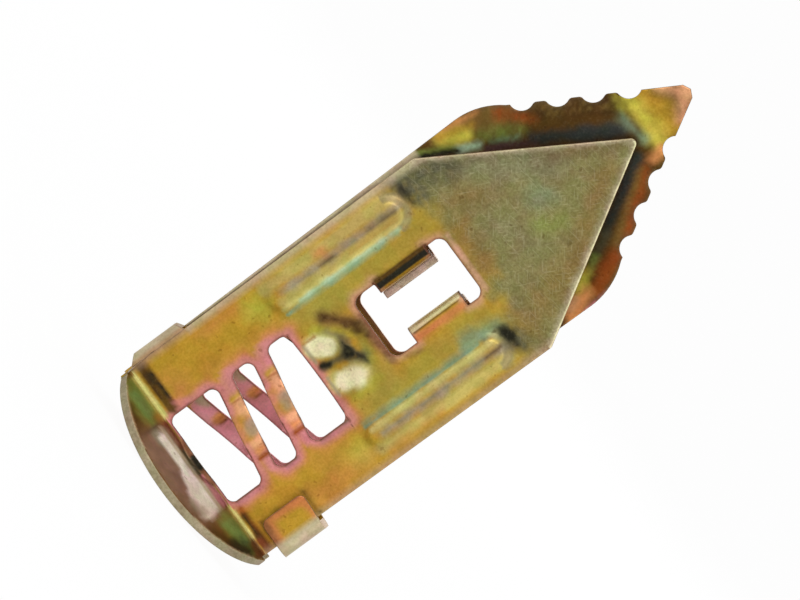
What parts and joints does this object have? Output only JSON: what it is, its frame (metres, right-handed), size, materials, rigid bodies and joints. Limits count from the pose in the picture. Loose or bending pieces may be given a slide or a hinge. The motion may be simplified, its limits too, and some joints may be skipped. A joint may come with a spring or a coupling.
{
  "type": "drywall anchor",
  "caption": "Knock-in drywall anchor folded from one steel sheet: leaning head lugs, slotted screw passage, ribbed legs and a saw-edged point.",
  "frame": {"origin": "on the screw's axis, at the level of the lug rims that the head stands on", "axes": "+Z along the screw's axis from the head to the point, -Y out of the short leg's face, +X towards the locking tab"},
  "size_m": [0.0159, 0.0154, 0.0411],
  "materials": {
    "zinc_plated_sheet": "yellow passivated zinc, rainbow tinted, satin"
  },
  "bodies": {
    "root": {"anchor_body": "zinc_plated_sheet"}
  },
  "joints": []
}
